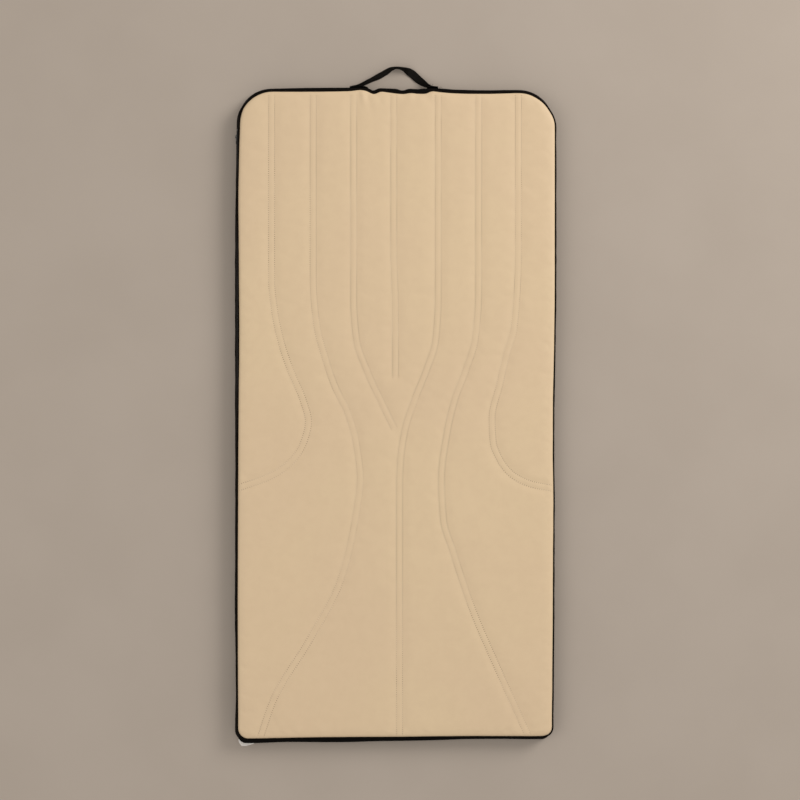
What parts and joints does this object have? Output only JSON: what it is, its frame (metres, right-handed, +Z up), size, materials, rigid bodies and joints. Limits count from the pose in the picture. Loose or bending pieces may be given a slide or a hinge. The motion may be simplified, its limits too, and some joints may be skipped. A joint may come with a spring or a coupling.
{
  "type": "infrared sauna blanket",
  "caption": "Flat two-quilt infrared sauna blanket with a stitched leathercloth cover, black piping, side zip, foot closure, supply inlet and a webbing carry handle.",
  "frame": {"origin": "centre of the base quilt's underside, on the surface that the blanket lies on", "axes": "+Y along the blanket towards the head end and its handle, +X towards the folded long side, +Z up out of the tan cover"},
  "size_m": [0.8849, 1.8762, 0.052],
  "materials": {
    "tan_leather": "smooth matt coated leathercloth, light tan",
    "black_leather": "smooth matt coated leathercloth, black",
    "black_piping": "corded piping, black",
    "liner": "wipe-clean coated inner liner, dark grey",
    "batting": "needled polyester insulation",
    "foil": "metallised film, bright",
    "scrim": "non-woven heater carrier",
    "felt": "flame-retardant felt",
    "heating_wire": "silicone-covered heating wire",
    "sensor_resin": "moulded resin",
    "lead_rubber": "flat insulated lead",
    "zip_tape": "woven polyester tape, black",
    "zip_coil": "nylon coil, black",
    "zip_metal": "black-plated zinc",
    "hook_and_loop": "hook and loop tape, black",
    "inlet_plastic": "moulded plastic, fine texture",
    "contact_brass": "plated contact pins",
    "webbing": "woven polypropylene webbing, black",
    "label_cloth": "satin care-label tape, plain"
  },
  "bodies": {
    "base": {"base_bottom_panel": "black_leather", "base_side_band": "black_leather", "base_fold_strip": "black_leather", "base_piping": "black_piping", "base_inner_liner": "liner", "base_insulation_batting": "batting", "base_reflective_foil": "foil", "base_heater_carrier": "scrim", "base_felt_layer": "felt", "base_heating_wire_torso": "heating_wire", "base_heating_wire_legs": "heating_wire", "base_temperature_sensor_torso": "sensor_resin", "base_temperature_sensor_legs": "sensor_resin", "base_thermal_cutout": "sensor_resin", "base_feed_lead": "lead_rubber", "base_return_lead": "lead_rubber", "cover_supply_lead": "lead_rubber", "base_zip_tape": "zip_tape", "base_zip_coil": "zip_coil", "base_zip_top_stop": "zip_metal", "base_zip_retainer": "zip_metal", "inlet_screw_left": "zip_metal", "inlet_screw_right": "zip_metal", "base_hook_strip": "hook_and_loop", "inlet_housing": "inlet_plastic", "inlet_bezel": "inlet_plastic", "inlet_contacts": "contact_brass", "handle_end_left": "webbing", "handle_end_right": "webbing", "care_label": "label_cloth"},
    "cover": {"cover_top_panel": "tan_leather", "cover_side_band": "black_leather", "cover_fold_strip": "black_leather", "cover_piping": "black_piping", "cover_inner_liner": "liner", "cover_insulation_batting": "batting", "cover_reflective_foil": "foil", "cover_heater_carrier": "scrim", "cover_felt_layer": "felt", "cover_heating_wire_torso": "heating_wire", "cover_heating_wire_legs": "heating_wire", "cover_temperature_sensor_torso": "sensor_resin", "cover_temperature_sensor_legs": "sensor_resin", "cover_thermal_cutout": "sensor_resin", "cover_feed_lead": "lead_rubber", "cover_return_lead": "lead_rubber", "cover_zip_tape": "zip_tape", "cover_zip_coil": "zip_coil", "cover_zip_top_stop": "zip_metal", "cover_zip_pin": "zip_metal", "cover_loop_strip": "hook_and_loop"},
    "zip_slider": {"zip_slider_body": "zip_metal"},
    "zip_pull": {"zip_pull_tab": "zip_metal"},
    "handle": {"handle_loop": "webbing"}
  },
  "joints": [
    {"name": "cover_fold", "type": "hinge", "parent": "base", "child": "cover", "pos_m": [0.4388, 0, 0.026], "axis": [0, 1, 0], "range_deg": [0, 180]},
    {"name": "zip_slide", "type": "slide", "parent": "base", "child": "zip_slider", "axis": [0, 1, 0], "range_m": [-1.605, 0]},
    {"name": "zip_pull_swing", "type": "hinge", "parent": "zip_slider", "child": "zip_pull", "pos_m": [-0.4443, 0.775, 0.026], "axis": [0, 0, -1], "range_deg": [0, 180]},
    {"name": "handle_swing", "type": "hinge", "parent": "base", "child": "handle", "pos_m": [0, 0.9073, 0.0228], "axis": [1, 0, 0], "range_deg": [0, 90]}
  ]
}
